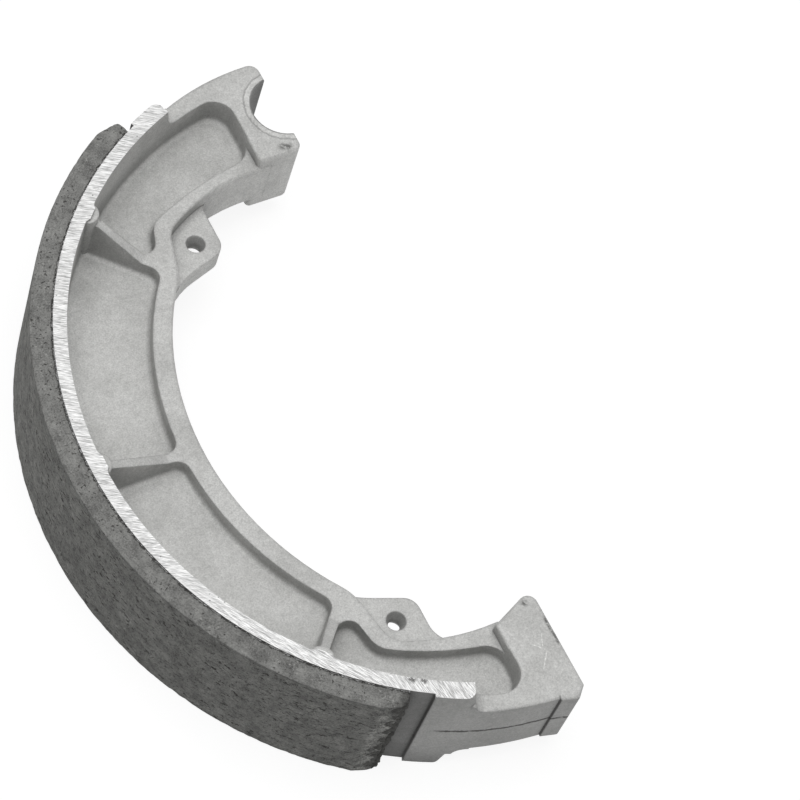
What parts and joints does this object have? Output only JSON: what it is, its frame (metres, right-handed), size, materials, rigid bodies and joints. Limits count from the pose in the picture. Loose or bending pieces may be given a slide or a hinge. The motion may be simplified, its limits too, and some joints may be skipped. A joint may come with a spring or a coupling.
{
  "type": "brake shoe",
  "caption": "Curved drum brake shoe: a cast aluminium shoe with ribbed pockets, spring ears and a half-round pin seat, and a bonded friction lining.",
  "frame": {"origin": "axis of the anchor pin, at half the width of the shoe", "axes": "+Z along the anchor pin and the drum's axis, +X away from the lining, +Y from the cam end to the pin end; the drum's centre is 65 mm below the origin along -Y"},
  "size_m": [0.079, 0.1527, 0.03],
  "materials": {
    "casting": "bead-blasted die casting, turned bright along the edges of its rim",
    "lining": "moulded friction material, dark and matt, ground on its edges and face"
  },
  "bodies": {
    "root": {"shoe_casting": "casting", "friction_lining": "lining"}
  },
  "joints": []
}
